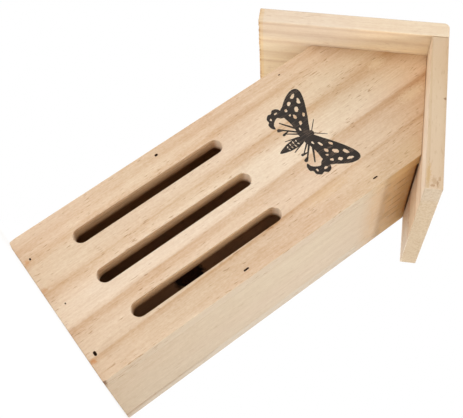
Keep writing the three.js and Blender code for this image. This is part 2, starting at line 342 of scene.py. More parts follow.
# where each effect begins and ends, and what it runs between
pineFades = {
    "changing": (0.25, 0.75, 0.7, 1.25), "edge": (0.5, 0.8), "end": (0.45, 0.9), "hue": (0.3, 0.7),
    "mark": (0.64, 0.76), "scorch": (0.42, 0.62, 0.1, 1), "paintedJointShade": (-50, -42),
}
stainLook = {"tear": ((0.8, 0.8, 1.6), 3, 0.7), "raggedness": 2.4, "solid": 0.3, "edge": 1.1}
knotLook = {
    "squash": 0.8, "raggedness": 0.9, "edge": (0.8, 1.25, 1, 0), "heart": (0.55, 0.95),
    "push": (0, 5, -0.75, 0),  # the grain flows round it
    "ringWaver": 0.35, "ringWidth": 0.09, "ringShare": 11, "tones": ("5a3820", "301c10"), "rim": "140d08",
}


def grainPlace(mat, axes):
    # across the grain, through the board and along the grain, in millimetres
    place = mat.node("TexCoord").outputs
    parts = [mat.vector("DOT_PRODUCT", place["Object"], tuple(component / mm for component in axis),
                        output="Value") for axis in axes]
    return parts, place["Normal"]


def bandTone(mat, across, bands):
    # bands are (place, tone) pairs in millimetres; between them the tone runs evenly
    low, high = bands[0][0], bands[-1][0]
    share = mat.maths("DIVIDE", mat.minus(across, low), high - low)
    return mat.ramp(share, [((place - low) / (high - low), tone) for place, tone in bands])


def ringTone(mat, across, through, wood, uneven):
    # rings round a pith outside the board, each pale at first and darkening to a crisp edge
    pithAcross, pithThrough = wood["pith"]
    radius = mat.distance(mat.minus(across, pithAcross), mat.minus(through, pithThrough))
    years = mat.plus(mat.maths("DIVIDE", radius, wood["ringWidth"]), mat.times(uneven, wood["unevenness"]))
    return mat.ramp(mat.maths("FRACT", years), wood["ringTones"])


def darkKnot(mat, across, along, ragged, knot):
    # how far the grain is pushed aside, and the knot's share and colour
    look = knotLook
    knotAcross, knotAlong, radius = knot
    offAcross = mat.minus(across, knotAcross)
    offAlong = mat.times(mat.minus(along, knotAlong), look["squash"])
    apart = mat.maths("DIVIDE", mat.distance(offAcross, offAlong), radius)
    apart = mat.swing(apart, ragged, look["raggedness"])
    push = (offAcross, mat.spread(apart, *look["push"]))
    rings = mat.maths("PINGPONG", mat.timesPlus(ragged, look["ringWaver"], apart), look["ringWidth"])
    inner = mat.mix(mat.times(rings, look["ringShare"]), *look["tones"])
    colour = mat.mix(mat.spread(apart, *look["heart"]), inner, look["rim"])
    return push, mat.spread(apart, *look["edge"]), colour


def stained(mat, colour, place, stain):
    spot, halfSizes, strength, stainColour = stain
    away = mat.vector("DIVIDE", mat.vector("SUBTRACT", place, spot), halfSizes)
    sizes, detail, roughness = stainLook["tear"]
    torn = mat.cloud(place, sizes, spot[2], detail, roughness)
    apart = mat.swing(mat.vector("LENGTH", away, output="Value"), torn, stainLook["raggedness"])
    share = mat.spread(apart, stainLook["solid"], stainLook["edge"], strength, 0)
    return mat.mix(share, colour, stainColour)


def roofUnderside(mat, colour, wood, across, through, along):
    # painted shade: the part of a roof board over the room is darkened, and from the front panel backwards
    # its colour is shifted to paint the shade there
    halfAcross, highest, lowest = wood["roomUnder"]
    indoors = 1
    for value, begin, end in ((mat.maths("ABSOLUTE", across), halfAcross + 0.5, halfAcross - 0.5),
                              (along, lowest + 0.5, lowest - 0.5), (along, highest, highest + 1),
                              (through, 2, 1)):
        indoors = mat.times(indoors, mat.spread(value, begin, end))
    colour = mat.tinted(indoors, colour, paintedInsideShade)
    return mat.tinted(mat.spread(across, *pineFades["paintedJointShade"]), colour, wood["paintedJointShade"])


def pine(name, axes, ownWood):
    wood = {**commonPine, **ownWood}
    mat = Shading(name)
    (across, through, along), normal = grainPlace(mat, axes)
    through = mat.minus(through, wood["face"])
    place = mat.node("CombineXYZ", {0: across, 1: through, 2: along}).outputs[0]

    def texture(kind):
        sizes, shift, *rest = pineTextures[kind]
        return mat.cloud(place, sizes, wood["shift"] + shift, *rest)

    # the grain leans, bends slowly and ripples quickly
    bent = mat.timesPlus(along, wood["drift"], across)
    bent = mat.timesPlus(through, wood["slant"], bent)
    for kind in ("wander", "ripple"):
        bent = mat.swing(bent, texture(kind), 2 * wood[kind])
    if "knot" in wood:
        push, knotShare, knotColour = darkKnot(mat, across, along, texture("knot"), wood["knot"])
        bent = mat.timesPlus(*push, bent)
    if "bands" in wood:
        tone = bandTone(mat, bent, wood["bands"])
    else:
        tone = ringTone(mat, bent, through, wood, texture("years"))
    tone = mat.times(tone, mat.spread(texture("changing"), *pineFades["changing"]))

    # fibres, from single threads to wide streaks
    fibres = {kind: texture(kind) for kind in ("fibre", "speck", "streak", "mottle")}
    share = mat.times(tone, wood["bandStrength"])
    for kind, threads in fibres.items():
        share = mat.swing(share, threads, wood[kind])
    share = mat.plus(share, 0.12, clamp=True)
    # the narrow long faces show another cut of the wood
    onEdge = mat.facing(normal, axes[0], *pineFades["edge"])
    pairs = zip(wood["tones"], wood.get("edgeTones", wood["tones"]))
    colour = mat.mix(share, *(mat.mix(onEdge, *pair) for pair in pairs))
    # slow changes between two hues
    hue = mat.mix(mat.spread(texture("hue"), *pineFades["hue"]), *wood["hues"])
    colour = mat.tinted(wood["warmth"], colour, hue)

    # end grain, darker and porous, wherever the surface cuts the fibres
    cutAcross = mat.facing(normal, axes[2], *pineFades["end"])
    pores = texture("pores")
    endShare = mat.timesPlus(tone, wood["endContrast"], mat.times(pores, 0.9))
    endShare = mat.minus(mat.swing(endShare, texture("patches"), wood["endSpeck"]), 0.25, clamp=True)
    colour = mat.mix(cutAcross, colour, mat.mix(endShare, *wood["endTones"]))

    def tintAll(colour, tints, value, cover):
        for begin, end, tint, *edge in tints:
            reach = mat.times(mat.spread(value, begin, end), cover)
            reach = mat.times(reach, onEdge) if edge else reach
            colour = mat.tinted(reach, colour, tint)
        return colour

    blotch = wood["tintBlotch"]
    patchy = mat.spread(texture("blotches"), 0.35, 0.65, 1 - blotch, 1 + blotch)
    colour = tintAll(colour, wood["tints"], along, patchy)
    # short dark resin marks along the grain, crowded in places
    mark = mat.spread(mat.swing(texture("dashes"), texture("crowd"), 0.4), *pineFades["mark"])
    colour = mat.tinted(mat.times(mark, wood["marks"]), colour, wood["mark"])
    if "scorch" in wood:
        begin, end, scorchColour = wood["scorch"]
        heat = mat.times(mat.spread(along, begin, end), mat.spread(fibres["streak"], *pineFades["scorch"]))
        colour = mat.mix(heat, colour, scorchColour)
    # painted shade and light by depth
    colour = tintAll(colour, wood["paintedDepthShades"], through, 1)
    for stain in wood["stains"]:
        colour = stained(mat, colour, place, stain)
    if "knot" in wood:
        colour = mat.mix(knotShare, colour, knotColour)
    # painted light and shade over the whole colour
    colour = mat.mix(1, colour, wood["paintedShading"], "MULTIPLY")
    if "roomUnder" in wood:
        colour = roofUnderside(mat, colour, wood, across, through, along)

    # threads and dark bands stand proud, marks and pores lie low
    height = mat.timesPlus(fibres["fibre"], 0.7, mat.times(tone, 0.25))
    height = mat.timesPlus(mark, -0.6, height)
    height = mat.timesPlus(mat.times(pores, cutAcross), 1.3, height)
    dullness = mat.swing(wood["roughness"], fibres["fibre"], 0.25)
    dullness = mat.timesPlus(cutAcross, 0.15, dullness)
    return mat.surface(colour, height, wood, dullness)


crushedPineWithShade = {"tones": ("2c190e", "6a4428"), "tear": (0.3, 0.3, 0.9), "roughness": 0.85, "gloss": 0.1,
               "relief": 0.8, "bumpSize": 0.1}


def crushedWoodWithShade(look):
    # the walls of the small pits, where the brads' heads went in: crushed fibres, darkened further with
    # painted shade
    mat = Shading("crushed pine with painted shade")
    torn = mat.cloud(mat.millimetres(), look["tear"], detail=3, roughness=0.7)
    colour = mat.mix(torn, *look["tones"])
    return mat.surface(colour, torn, look)


pitMaterial = crushedWoodWithShade(crushedPineWithShade)

# Boards: rings of points at several depths below the outer face, joined by strips and capped

making = {
    "ease": 0.45,  # sanded edges
    "easeSteps": 4, "easeWaver": 0.28, "waverSize": 0.11, "cornerRound": 0.62, "cornerSteps": 3,
    "slotEase": 0.22, "step": 4, "sharpAngle": 42, "slotMaterial": 2,
}
pit = {
    "length": 3, "width": 1.7, "depth": 1.7,
    "mouth": (2, 1.05),  # the fibres sprang back over the head
    "neck": 0.45, "slope": 0.3, "lip": 0.12, "torn": 0.16, "tearSize": 1.3,
    "steps": {"arcSteps": 6, "parts": 4},
}
# how far the fibres closed over each front head
pitMouths = {
    "left_upper": (1.1, 0.6), "left_lower": (2, 1.25),
    "right_upper": (3.1, 0.65), "right_lower": (3.3, 0.85),
    "floor_left": (1.25, 0.85), "floor_middle": (1, 0.65), "floor_right": (2.6, 1.35),
}


def edgeRing(corners, steps):
    # points round a board's outline with their outward directions; steps gives each side's spacing
    count, radius, turns = len(corners), making["cornerRound"], making["cornerSteps"]
    arcs = []
    for i, corner in enumerate(corners):
        wayIn = (corner - corners[i - 1]).normalized()
        wayOut = (corners[(i + 1) % count] - corner).normalized()
        normalIn, normalOut = spots((wayIn.y, -wayIn.x), (wayOut.y, -wayOut.x))
        centre = corner - (normalIn + normalOut) * radius / (1 + normalIn.dot(normalOut))
        outwards = [normalIn.lerp(normalOut, k / turns).normalized() for k in range(turns + 1)]
        arcs.append([(centre + outward * radius, outward) for outward in outwards])
    ring = []
    for i, arc in enumerate(arcs):
        ring += arc
        start, outward = arc[-1]
        end = arcs[(i + 1) % count][0][0]
        parts = max(1, round((end - start).length / steps[i]))
        ring += [(start.lerp(end, k / parts), outward) for k in range(1, parts)]
    return ring


def capsuleRing(middle, length, width, upright=True, arcSteps=8, parts=1):
    # a straight-sided opening with round ends
    radius = width / 2
    reach = length / 2 - radius
    way = Vector((0, 1)) if upright else Vector((1, 0))
    aside = Vector((way.y, -way.x))
    ring = []
    for sign in (1, -1):
        for k in range(arcSteps + 1):
            turn = math.pi * k / arcSteps
            outward = (aside * math.cos(turn) + way * math.sin(turn)) * sign
            ring.append((middle + way * reach * sign + outward * radius, outward))
        start, end = ring[-1][0], middle - way * reach * sign - aside * radius * sign
        ring += [(start.lerp(end, k / parts), -aside * sign) for k in range(1, parts)]
    return ring


def waver(spot, seed):
    size = making["waverSize"]
    return noise.noise(Vector((spot.x * size, spot.y * size, seed)))


class Board:
    def __init__(self, name, place, seed, adjust=lambda spot, depth: spot, easeShare=lambda spot: 1):
        self.name, self.place, self.seed = name, place, seed
        self.adjust, self.easeShare = adjust, easeShare
        self.mesh = bmesh.new()

    def ring(self, points, inset, depth):
        # points moved in from the outline and put at a depth, each as a flat and a solid point
        made = []
        for spot, outward in points:
            uneven = (1 + making["easeWaver"] * waver(spot, self.seed)) * self.easeShare(spot)
            flat = self.adjust(spot - outward * inset * uneven, depth)
            made.append((flat, self.mesh.verts.new(self.place(flat.x, flat.y, depth) * mm)))
        return made

    def strip(self, upper, lower, material=0):
        for i in range(len(upper)):
            j = (i + 1) % len(upper)
            face = self.mesh.faces.new((upper[i][1], upper[j][1], lower[j][1], lower[i][1]))
            face.smooth = True
            face.material_index = material

    def cap(self, outer, holes=(), material=0):
        loops = [outer, *holes]
        vertices = [vertex for loop in loops for point, vertex in loop]
        outline, *openings = [[point for point, vertex in loop] for loop in loops]
        flat, triangles, origins = fillLoops(
            [outline, *openings],
            lambda middle: isInside(middle, outline) and not isInAny(middle, openings), 1e-6)
        for triangle in triangles:
            face = self.mesh.faces.new([vertices[origins[k][0]] for k in triangle])
            face.material_index = material

    def sink(self, points, depth, top=0, mouth=None, material=0, inside=()):
        # a blind recess; returns its rim, which is a hole in the face above it
        lip, neck = pit["lip"], pit["neck"]
        rim = floor = self.ring(mouth or points, -lip if mouth else 0, top)
        throat = [(mouth, lip), (mouth, neck), (points, neck + pit["slope"])] if mouth else []
        for outline, low in [*throat, (points, depth)]:
            edge = self.ring(outline, 0, low)
            self.strip(floor, edge, material)
            floor = edge
        rims = [self.sink(top=depth, **recess) for recess in inside]
        self.cap(floor, rims, material)
        return rim

    def slab(self, corners, thickness, steps=None, through=(), recesses=(), depths=(), innerMaterial=0):
        # the board itself, with openings that go through it and recesses in its outer face
        outline = edgeRing(corners, steps or [making["step"]] * len(corners))
        ease, count = making["ease"], making["easeSteps"]
        turns = [math.pi / 2 * k / count for k in range(count + 1)]
        bevel = [(ease * (1 - math.cos(turn)), ease * (1 - math.sin(turn))) for turn in turns]
        middle = [(depth, 0) for depth in depths or (ease * 2, thickness / 2, thickness - ease * 2)]
        levels = bevel + [level for level in middle if ease < level[0] < thickness - ease]
        levels += [(thickness - depth, inset) for depth, inset in reversed(bevel)]
        sides = [(outline, 1, 0)]
        sides += [(slot, -making["slotEase"] / ease, making["slotMaterial"]) for slot in through]
        tops, bottoms = [], []
        for points, scale, wallMaterial in sides:
            rings = [self.ring(points, inset * scale, depth) for depth, inset in levels]
            for upper, lower, (depth, inset) in zip(rings, rings[1:], levels):
                self.strip(upper, lower, wallMaterial if depth > ease / 2 else 0)
            tops.append(rings[0])
            bottoms.append(rings[-1])
        rims = [self.sink(**recess) for recess in recesses]
        self.cap(tops[0], tops[1:] + rims)
        self.cap(bottoms[0], bottoms[1:], innerMaterial)

    def finish(self, materials, slot, node):
        bmesh.ops.recalc_face_normals(self.mesh, faces=self.mesh.faces)
        piece = addPiece(self.name, self.mesh, materials)
        piece.data.set_sharp_from_angle(angle=math.radians(making["sharpAngle"]))
        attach(piece, "root")
        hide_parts(node)


def bradPit(node, upright=True, toBoard=lambda point: point.xz):
    # the pit over a brad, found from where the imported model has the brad
    low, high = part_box(node)
    middle = toBoard((low + high) / 2 / mm)
    size, steps = pit["tearSize"], pit["steps"]
    shape = pitMouths.get(node.removeprefix("front_brad_"), pit["mouth"])
    mouth = capsuleRing(middle, *shape, upright, **steps)
    torn = [(spot + outward * pit["torn"] * noise.noise(Vector((*(spot * size), 0.5))), outward)
            for spot, outward in mouth]
    around = capsuleRing(middle, pit["length"], pit["width"], upright, **steps)
    return {"points": around, "mouth": torn, "depth": pit["depth"], "material": 1}


def panelPits(panel):
    pits = [bradPit(f"{panel}_brad_{side}_{height}")
            for side in ("left", "right") for height in ("upper", "lower")]
    return pits + [bradPit(f"{panel}_brad_floor_{where}", False) for where in ("left", "middle", "right")]


house = {
    "width": 100, "depth": 83, "eave": 218.5, "gable": 268.5, "board": 10,
    "sideTopDrops": (1.2, 0.6),  # below the eave, at the front and the back
    "gableEase": 0.3,
    "gableRise": 0.22,  # the sloping edges almost touch the roof
    "seamEase": 0.45,
    "cornerReach": 1,  # how near a corner its own ease begins
}
frontFace, backFace = -house["depth"] / 2, house["depth"] / 2
halfWidth = house["width"] / 2
insideReach, insideDepth = halfWidth - house["board"], backFace - house["board"]
upright = spots((1, 0, 0), (0, 1, 0), (0, 0, 1))


def gableCorners():
    eave, gable = house["eave"] + house["gableRise"], house["gable"] + house["gableRise"]
    return spots((-halfWidth, 0), (halfWidth, 0), (halfWidth, eave), (0, gable), (-halfWidth, eave))


def gableEase(spot):
    # the sloping edges were never sanded, so the roof lies close on them
    return house["gableEase"] if spot.y > house["eave"] + house["cornerReach"] else 1


# painted shade: the inside is darkened to brown, and painted light lifts it higher up
paintedInsideShade = (0.5, 0.31, 0.19)
paintedInsideLight = [(112, 148, (1.5, 1.45, 1.45)), (138, 150, (1.25, 1.4, 1.45))]


def bothPines(name, axes, wood):
    # the wood outside, and a copy for the inside with painted shade and painted light
    inside = {**wood, "paintedShading": paintedInsideShade, "tints": paintedInsideLight}
    return [pine(f"{name} pine", axes, wood), pine(f"{name} inside pine with painted shade", axes, inside)]


# darker towards the bottom; painted shade under the roof: browner and darker from about 174 up to the eave,
# lighter and bluer again above it
edgeTints = [(140, 10, (0.91, 0.89, 0.87), "edge"), (174, 190, (0.98, 0.88, 0.77), "edge"),
             (190, 200, (1.14, 1.05, 0.86), "edge"), (200, 217, (0.89, 0.82, 0.67), "edge"),
             (217.5, 218.5, (1.15, 1.2, 1.3), "edge")]

# Front panel

frontPanel = {
    "seed": 1.3, "slotTop": 132.6, "slotWidth": 9.7,
    "slotLengths": (102, 104.04, 99.96),
    "slotPitch": 28,
    "slotDrift": (-0.34, -0.08, -0.14),  # the router's fence was never set quite evenly
    "slotSteps": {"arcSteps": 20, "parts": 24},
    "bluntReach": 3, "bluntDepth": 0.9, "bluntWay": (0.6, 0.8),
    # the slot walls' own copy of the front's wood, with painted light and painted shade
    "routed": {
        "paintedShading": (1.2, 1.01, 0.79),
        "edgeTones": ("e0d1bd", "85542c"), "endTones": ("f0f0f2", "e0d8d0"), "endContrast": 0.2,
        "bandStrength": 0.2, "marks": 0.2, "streak": 0.8, "fibre": 0.7,
        # a pale patch of painted light on the right slot's wall
        "stains": [((23.2, 4, 82), (2, 6, 60), 0.5, "e6d4ba")],
        # darker near the mouth of the long walls, and painted shade deep in the slots
        "paintedDepthShades": [(2.6, 0.8, (0.74, 0.69, 0.66), "edge"), (6, 10, (0.5, 0.42, 0.36))],
    },
    "wood": {
        "tones": ("f0dec7", "bd8c5a"), "edgeTones": ("e0d1bd", "b89f83"),
        "drift": 0.028, "slant": -0.55, "shift": 1, "face": -41.5,
        "marks": 0.6, "fibre": 0.42, "streak": 0.3, "mottle": 0.16, "warmth": 0.5,
        "stains": [
            ((-32.6, 0, 2.4), (2.4, 9, 1.7), 0.45, "cf8e50"), ((-12.2, 0, 1.6), (1.5, 9, 2.4), 0.4, "c48850"),
            ((37.3, 0, 2.2), (1.7, 9, 2.2), 0.55, "cf8440"), ((50.2, 0, 0.6), (0.9, 9, 1.6), 0.8, "6a4426"),
            ((44, 0, 216), (9, 9, 14), 0.35, "dcc39c"), ((15, 0, 243), (4.5, 9, 13), 0.45, "f0dab4"),
            ((-15, 0, 241), (4.5, 9, 8), 0.45, "eedab6"), ((35, 0, 160), (4.5, 9, 20), 0.3, "dcb684"),
        ],
        # a slight tint from 150 up, then painted shade on the gable under the roof
        "tints": [*edgeTints, (150, 205, (1, 0.99, 0.955)), (205, 262, (0.92, 0.82, 0.72))],
        "bands": [
            (-60, 0.6), (-46, 0.62), (-42, 0.78), (-40, 0.86), (-36, 0.55), (-33.5, 0.75), (-31.5, 0.95),
            (-29, 0.6), (-26, 0.42), (-16, 0.3), (-12, 0.5), (-10.6, 0.7), (-10, 1), (-9.2, 0.75), (-6, 0.64),
            (-3, 0.32), (2, 0.08), (13, 0.02), (14.6, 0.36), (15.4, 0.82), (18, 0.74), (21, 0.5), (24, 0.4),
            (31, 0.26), (35.2, 0.45), (36.2, 1), (37.6, 0.72), (40, 0.5), (48, 0.64), (60, 0.64),
        ],
    },
}


def makeFrontPanel(panel):
    blunt = Vector((-halfWidth, 0))

    def bluntCorner(spot, depth):
        # the lower left corner was knocked
        near = max(0, 1 - (spot - blunt).length / panel["bluntReach"])
        return spot + Vector(panel["bluntWay"]) * panel["bluntDepth"] * near

    board = Board("front_board", lambda u, v, depth: Vector((u, frontFace + depth, v)), panel["seed"],
                  bluntCorner, gableEase)
    slots = []
    for i, (length, drift) in enumerate(zip(panel["slotLengths"], panel["slotDrift"])):
        middle = Vector(((i - 1) * panel["slotPitch"] + drift, panel["slotTop"] - length / 2))
        slots.append(capsuleRing(middle, length, panel["slotWidth"], **panel["slotSteps"]))
    board.slab(gableCorners(), house["board"], through=slots, recesses=panelPits("front"), innerMaterial=3)
    outside, inside = bothPines("front", upright, panel["wood"])
    routed = pine("routed pine", upright, {**panel["wood"], **panel["routed"]})
    board.finish([outside, pitMaterial, routed, inside], "front_pine", "front_panel")


makeFrontPanel(frontPanel)
print("front panel made")

# Back panel, with the recess for the wall plate

backPanel = {
    "seed": 7.9,
    "plate": {"height": 224, "length": 44.6, "width": 15.6, "depth": 1.55, "arcSteps": 24},
    "pocket": {"height": 224, "length": 18.4, "width": 8.4, "depth": 3.8, "arcSteps": 16},
    "wood": {
        "tones": ("e6cfb2", "bd9168"), "edgeTones": ("d0c3b1", "b39a80"),
        "tints": edgeTints, "shift": 42, "wander": 4,
        "pith": (-34, 62), "ringWidth": 7.5,
        "knot": (0.6, 80.5, 8),  # across, along and radius
    },
}


def uprightRecess(form, inside=()):
    points = capsuleRing(Vector((0, form["height"])), form["length"], form["width"],
                         arcSteps=form["arcSteps"])
    return {"points": points, "depth": form["depth"], "inside": inside}


def makeBackPanel(panel):
    board = Board("back_board", lambda u, v, depth: Vector((u, backFace - depth, v)), panel["seed"],
                  easeShare=gableEase)
    seat = uprightRecess(panel["plate"], [uprightRecess(panel["pocket"])])
    board.slab(gableCorners(), house["board"], recesses=[seat, *panelPits("back")], innerMaterial=2)
    outside, inside = bothPines("back", upright, panel["wood"])
    board.finish([outside, pitMaterial, inside], "back_pine", "back_panel")


makeBackPanel(backPanel)
print("back panel made")

# Side panels, cut square below the roof

leftSide = {
    "side": -1,
    "seed": 12.1,
    "wood": {"tones": ("e0cfb4", "bfa27f"), "shift": 55, "pith": (90, 30), "ringWidth": 6},
}
rightSide = {
    "side": 1,
    "seed": 15.6,
    "wood": {
        "tones": ("d4c3ac", "b2967a"),
        "slant": 0.3, "shift": 71, "face": 50, "bandStrength": 0.4, "marks": 0.3, "tintBlotch": 0.3,
        # painted shade from the roof over the whole side, darkest in the gap under the eave
        "tints": [tint[:3] for tint in edgeTints] + [(214.6, 217.9, (0.85, 0.55, 0.32))],
        # brown patches and streaks high on the side, in the roof's shade: partly the wood's own marks, partly
        # painted shade
        "stains": [
            ((-14, 0, 197), (5, 9, 4), 0.2, "8a5a2c"), ((14, 0, 200), (4, 9, 6), 0.2, "a06424"),
            ((-24, 0, 206), (1.1, 9, 8), 0.45, "7c4c24"), ((-15, 0, 208), (0.8, 9, 7), 0.45, "7c4c24"),
            ((-6, 0, 203), (1.2, 9, 9), 0.4, "86521f"), ((3, 0, 207), (0.9, 9, 8), 0.45, "7a4a20"),
            ((11, 0, 204), (0.8, 9, 9), 0.45, "86521f"), ((20, 0, 207), (1.3, 9, 7), 0.4, "7c4c24"),
        ],
        "bands": [(-36, 0.3), (-28, 0.15), (-20, 0.22), (-12, 0.1), (-3, 0.24), (0, 0.14), (9, 0.2),
                  (11, 0.3), (13, 0.12), (24, 0.2), (36, 0.4)],
    },
}


def makeSidePanel(name, panel):
    side = panel["side"]

    def seamEase(spot):
        return house["seamEase"] if abs(spot.x) > insideDepth - house["cornerReach"] else 1

    board = Board(f"{name}_side_board", lambda u, v, depth: Vector((side * (halfWidth - depth), u, v)),
                  panel["seed"], easeShare=seamEase)
    front, back = (house["eave"] - drop for drop in house["sideTopDrops"])
    corners = spots((-insideDepth, 0), (insideDepth, 0), (insideDepth, back), (-insideDepth, front))
    board.slab(corners, house["board"], innerMaterial=1)
    board.finish(bothPines(f"{name} side", spots((0, 1, 0), (side, 0, 0), (0, 0, 1)), panel["wood"]),
                 "side_pine", f"{name}_side_panel")


makeSidePanel("left", leftSide)
makeSidePanel("right", rightSide)
print("side panels made")

# Floor board

floorPanel = {
    "seed": 19.4,
    "wood": {"tones": ("e0c8a8", "b78f66"), "shift": 88, "pith": (12, -55), "ringWidth": 8},
}


def makeFloorPanel(panel):
    board = Board("floor_board", lambda u, v, depth: Vector((u, v, depth)), panel["seed"])
    corners = spots((-insideReach, -insideDepth), (insideReach, -insideDepth), (insideReach, insideDepth),
                    (-insideReach, insideDepth))
    board.slab(corners, house["board"], innerMaterial=1)
    board.finish(bothPines("floor", spots((0, 1, 0), (0, 0, 1), (1, 0, 0)), panel["wood"]),
                 "floor_pine", "floor_panel")


makeFloorPanel(floorPanel)
print("floor board made")

# Roof boards. The left one laps over the right one, and its eave end is roughly sawn.

roof = {
    "pitch": 45, "thickness": 10, "fit": 0.3, "front": -60.5, "back": 41.5, "eaveStep": 0.8,
    "paintedShadePast": 0.4,  # how far the painted inside shade reaches past the walls
    "depths": (0.7, 1, 1.5, 2, 2.6, 3.4, 4.6, 5.8, 7, 8.2, 9.1),
    "endReach": 1.5,
    "ridgeWaver": 0.15,
}
# what the saw left at the eave
sawing = {"least": 0.2, "mark": 0.9, "markLean": 0.12, "fuzz": 0.18, "fuzzSize": (1.1, 0.5), "fuzzShift": 5}
leftRoof = {
    "side": -1, "from": -10, "to": 104, "ridgeRound": 3.2, "seed": 23.8, "sawn": 0.55,
    "sawnStep": 3.1,
    "proudFibres": [(-60.5, 3), (-56.5, 1.2), (-51, 1.2), (-42.5, 1.6), (-38, 2.6), (-23.5, 1),
                    (-6, 1.4), (14, 1.4), (31, 2)],
    "wood": {
        "tones": ("eee0cb", "c6a88a"), "edgeTones": ("f1e4d0", "c79f78"),
        # the joint share here is painted light on the underside behind the front panel
        "endTones": ("cfb595", "b08c66"), "paintedJointShade": (1.16, 1.15, 1.1),
        "scorch": (102.2, 103.8, "c0925e"),  # the last stretch before the sawn end
        "slant": -0.1, "wander": 0.8, "ripple": 0.25, "shift": 104, "face": 190.2,
        "fibre": 0.32, "speck": 0.25, "mottle": 0.2, "bandStrength": 0.62, "marks": 0.25,
        "tints": [(-125, -165, (1.13, 1.09, 0.98)), (-89.4, -88.6, (1, 0.945, 0.82)),
                  (-125, -165, (0.92, 0.94, 1), "edge"), (-125, -95, (0.97, 0.96, 0.95), "edge")],
        # painted shade darkens the top face
        "paintedDepthShades": [(9.2, 9.9, (0.72, 0.72, 0.72))],
        "bands": [
            (-62, 0.4), (-60.3, 0.3), (-59, 0.65), (-57.8, 0.6), (-56.8, 0.32), (-53.5, 0.26),
            (-51.8, 0.56), (-50.6, 0.64), (-49.2, 0.36), (-46.5, 0.2), (-43.6, 0.3), (-42.3, 0.85),
            (-41.2, 0.6), (-39.5, 0.2), (-36, 0), (-33, 0), (-30.6, 0.5), (-28.6, 0.35), (-24, 0.05),
            (-21.6, 0.6), (-20.4, 0.4), (-18.6, 0.08), (-8, 0.15), (-6, 0.55), (-5.2, 0.1), (12, 0.12),
            (14, 0.5), (15, 0.1), (30, 0.2), (42, 0.3),
        ],
    },
}
rightRoof = {
    "side": 1, "from": 0.3, "to": 103, "ridgeRound": 0, "seed": 29.2, "sawn": 0.22, "sawnStep": 2.3,
    "proudFibres": [],
    "wood": {
        "tones": ("f2e2cf", "c9a27e"), "edgeTones": ("dbc3a7", "cfb391"),
        "endTones": ("d5c3ab", "bba183"), "endContrast": 0.1, "endSpeck": 2,
        "wander": 3, "shift": 133, "face": 190.2, "pith": (40, -260), "ringWidth": 6.5,
        "fibre": 0.3, "speck": 0.2, "streak": 0.3, "marks": 0.2,
        "tints": [(-138, -180, (0.93, 0.88, 0.79)), (-150, -190, (1.02, 1.04, 1.12), "edge")],
        # painted shade on the top face
        "paintedDepthShades": [(9.2, 9.9, (0.92, 0.95, 1.02))],
        "stains": [
            # the first two are painted light on the underside beside the wall and near the back edge
            ((40, 0, -104), (7, 3, 30), 0.7, "f4e6d4"), ((19, 0, -90), (21, 0.5, 27), 0.95, "f4ebe0"),
            ((-60.5, 1.8, -96), (3, 1.5, 8), 0.5, "c8a064"),
            ((-60.5, 5, -92.5), (3, 1.6, 3.2), 0.4, "b08458"),
            ((-60.5, 6.8, -90.5), (3, 0.9, 2.4), 0.55, "986838"),
            ((-60.5, 4.2, -89.3), (3, 1.6, 1), 0.5, "a06c40"),
            ((-60.5, 7.8, -93.8), (3, 0.8, 1.8), 0.45, "a87848"),
            ((-60.5, 8.9, -146.1), (3, 1.2, 0.9), 0.8, "7a5434"),
        ],
    },
}
pitch = math.radians(roof["pitch"])
apexHeight = house["gable"] + roof["fit"] / math.cos(pitch)


